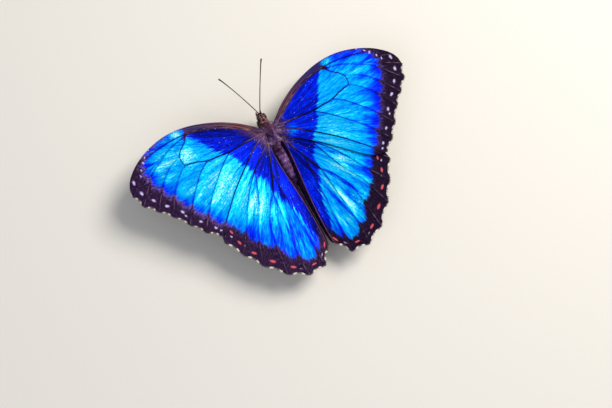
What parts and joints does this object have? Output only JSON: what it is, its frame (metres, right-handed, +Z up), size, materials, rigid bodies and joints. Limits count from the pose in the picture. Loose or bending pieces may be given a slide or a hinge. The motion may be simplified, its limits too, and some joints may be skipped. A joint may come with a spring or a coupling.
{
  "type": "blue morpho butterfly model",
  "caption": "Life-size still model of a blue morpho butterfly standing on its legs with its broad scalloped wings spread almost flat and its antennae raised forwards.",
  "frame": {"origin": "middle of the bounding box on the ground plane, which the four standing feet touch", "axes": "+X towards the animal's right, +Y towards its head, +Z up"},
  "size_m": [0.12, 0.0846, 0.0197],
  "materials": {
    "wing": "iridescent blue scales over a thin dry membrane, brown below",
    "fur": "dense short purple-brown hair-scales",
    "eye": "glossy, finely faceted",
    "chitin": "satin dark brown cuticle"
  },
  "bodies": {
    "root": {"head": "fur", "thorax": "fur", "abdomen": "fur", "eye_right": "eye", "eye_left": "eye", "antenna_right": "chitin", "antenna_left": "chitin", "palp_right": "fur", "palp_left": "fur", "proboscis": "chitin", "forewing_right": "wing", "forewing_left": "wing", "hindwing_right": "wing", "hindwing_left": "wing", "foreleg_right": "fur", "foreleg_left": "fur", "midleg_right": "chitin", "midleg_left": "chitin", "hindleg_right": "chitin", "hindleg_left": "chitin"}
  },
  "joints": []
}
